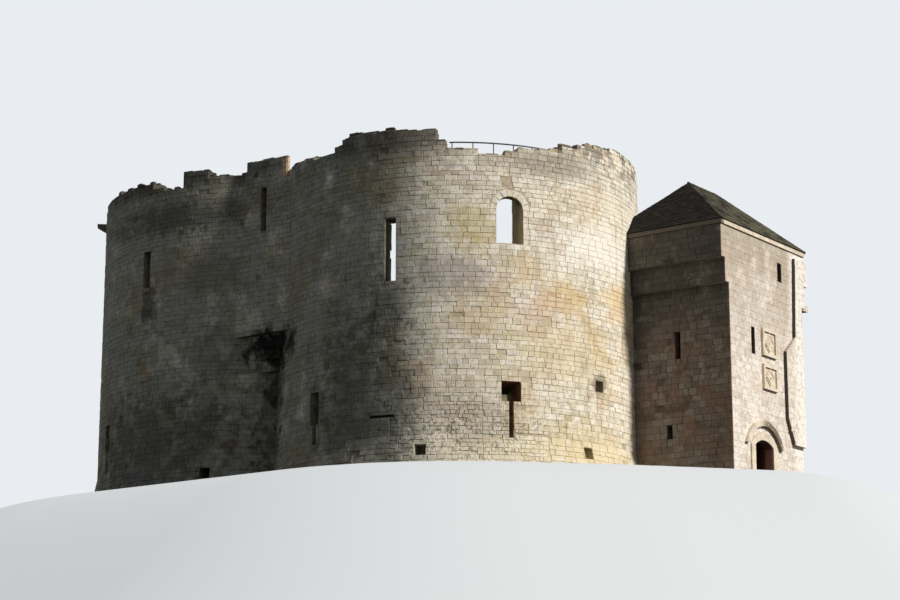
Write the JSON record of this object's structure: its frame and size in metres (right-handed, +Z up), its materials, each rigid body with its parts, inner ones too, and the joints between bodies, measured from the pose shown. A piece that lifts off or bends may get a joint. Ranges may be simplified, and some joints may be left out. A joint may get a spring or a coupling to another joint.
{
  "type": "castle keep with four round lobes",
  "caption": "Roofless stone keep of four round lobes with a hipped gate tower, slit windows, corner turrets and a broken parapet.",
  "frame": {"origin": "centre of the four lobes on the ground plane, at the underside of the courtyard floor", "axes": "+Z up, the gate tower faces -Y, +X to the right when facing +Y"},
  "size_m": [26.4, 30.8143, 14.1],
  "materials": {
    "limestone": "weathered coursed limestone",
    "plinth_stone": "weathered coursed limestone",
    "dressed_stone": "dressed limestone",
    "floor_stone": "worn stone slabs",
    "floor_boards": "rough oak boards",
    "roof_covering": "weathered dark tiles",
    "rail_iron": "black paint"
  },
  "bodies": {
    "root": {"sw_wall_west": "limestone", "sw_wall_middle": "limestone", "sw_wall_window": "limestone", "sw_wall_south": "limestone", "nw_wall_north": "limestone", "nw_wall_window": "limestone", "nw_wall_middle": "limestone", "nw_wall_west": "limestone", "ne_wall_east": "limestone", "ne_wall_middle": "limestone", "ne_wall_window": "limestone", "ne_wall_north": "limestone", "se_wall_south": "limestone", "se_wall_window": "limestone", "se_wall_middle": "limestone", "se_wall_east": "limestone", "sw_parapet": "limestone", "nw_parapet": "limestone", "ne_parapet": "limestone", "se_parapet": "limestone", "west_turret": "limestone", "north_turret": "limestone", "east_turret": "limestone", "entrance_wall_over": "limestone", "gate_west_wall": "limestone", "gate_east_wall": "limestone", "front_wall_west": "limestone", "front_wall_east": "limestone", "door_head": "limestone", "front_wall_upper": "limestone", "corner_buttress": "limestone", "sw_plinth": "plinth_stone", "nw_plinth": "plinth_stone", "ne_plinth": "plinth_stone", "se_plinth": "plinth_stone", "door_surround": "dressed_stone", "door_hood": "dressed_stone", "upper_panel": "dressed_stone", "lower_panel": "dressed_stone", "gate_coping": "dressed_stone", "gate_spout": "dressed_stone", "parapet_bracket": "dressed_stone", "courtyard_floor": "floor_stone", "passage_floor": "floor_stone", "door_step": "floor_stone", "chapel_floor": "floor_boards", "loft_floor": "floor_boards", "gate_roof": "roof_covering", "walk_rail": "rail_iron"}
  },
  "joints": []
}
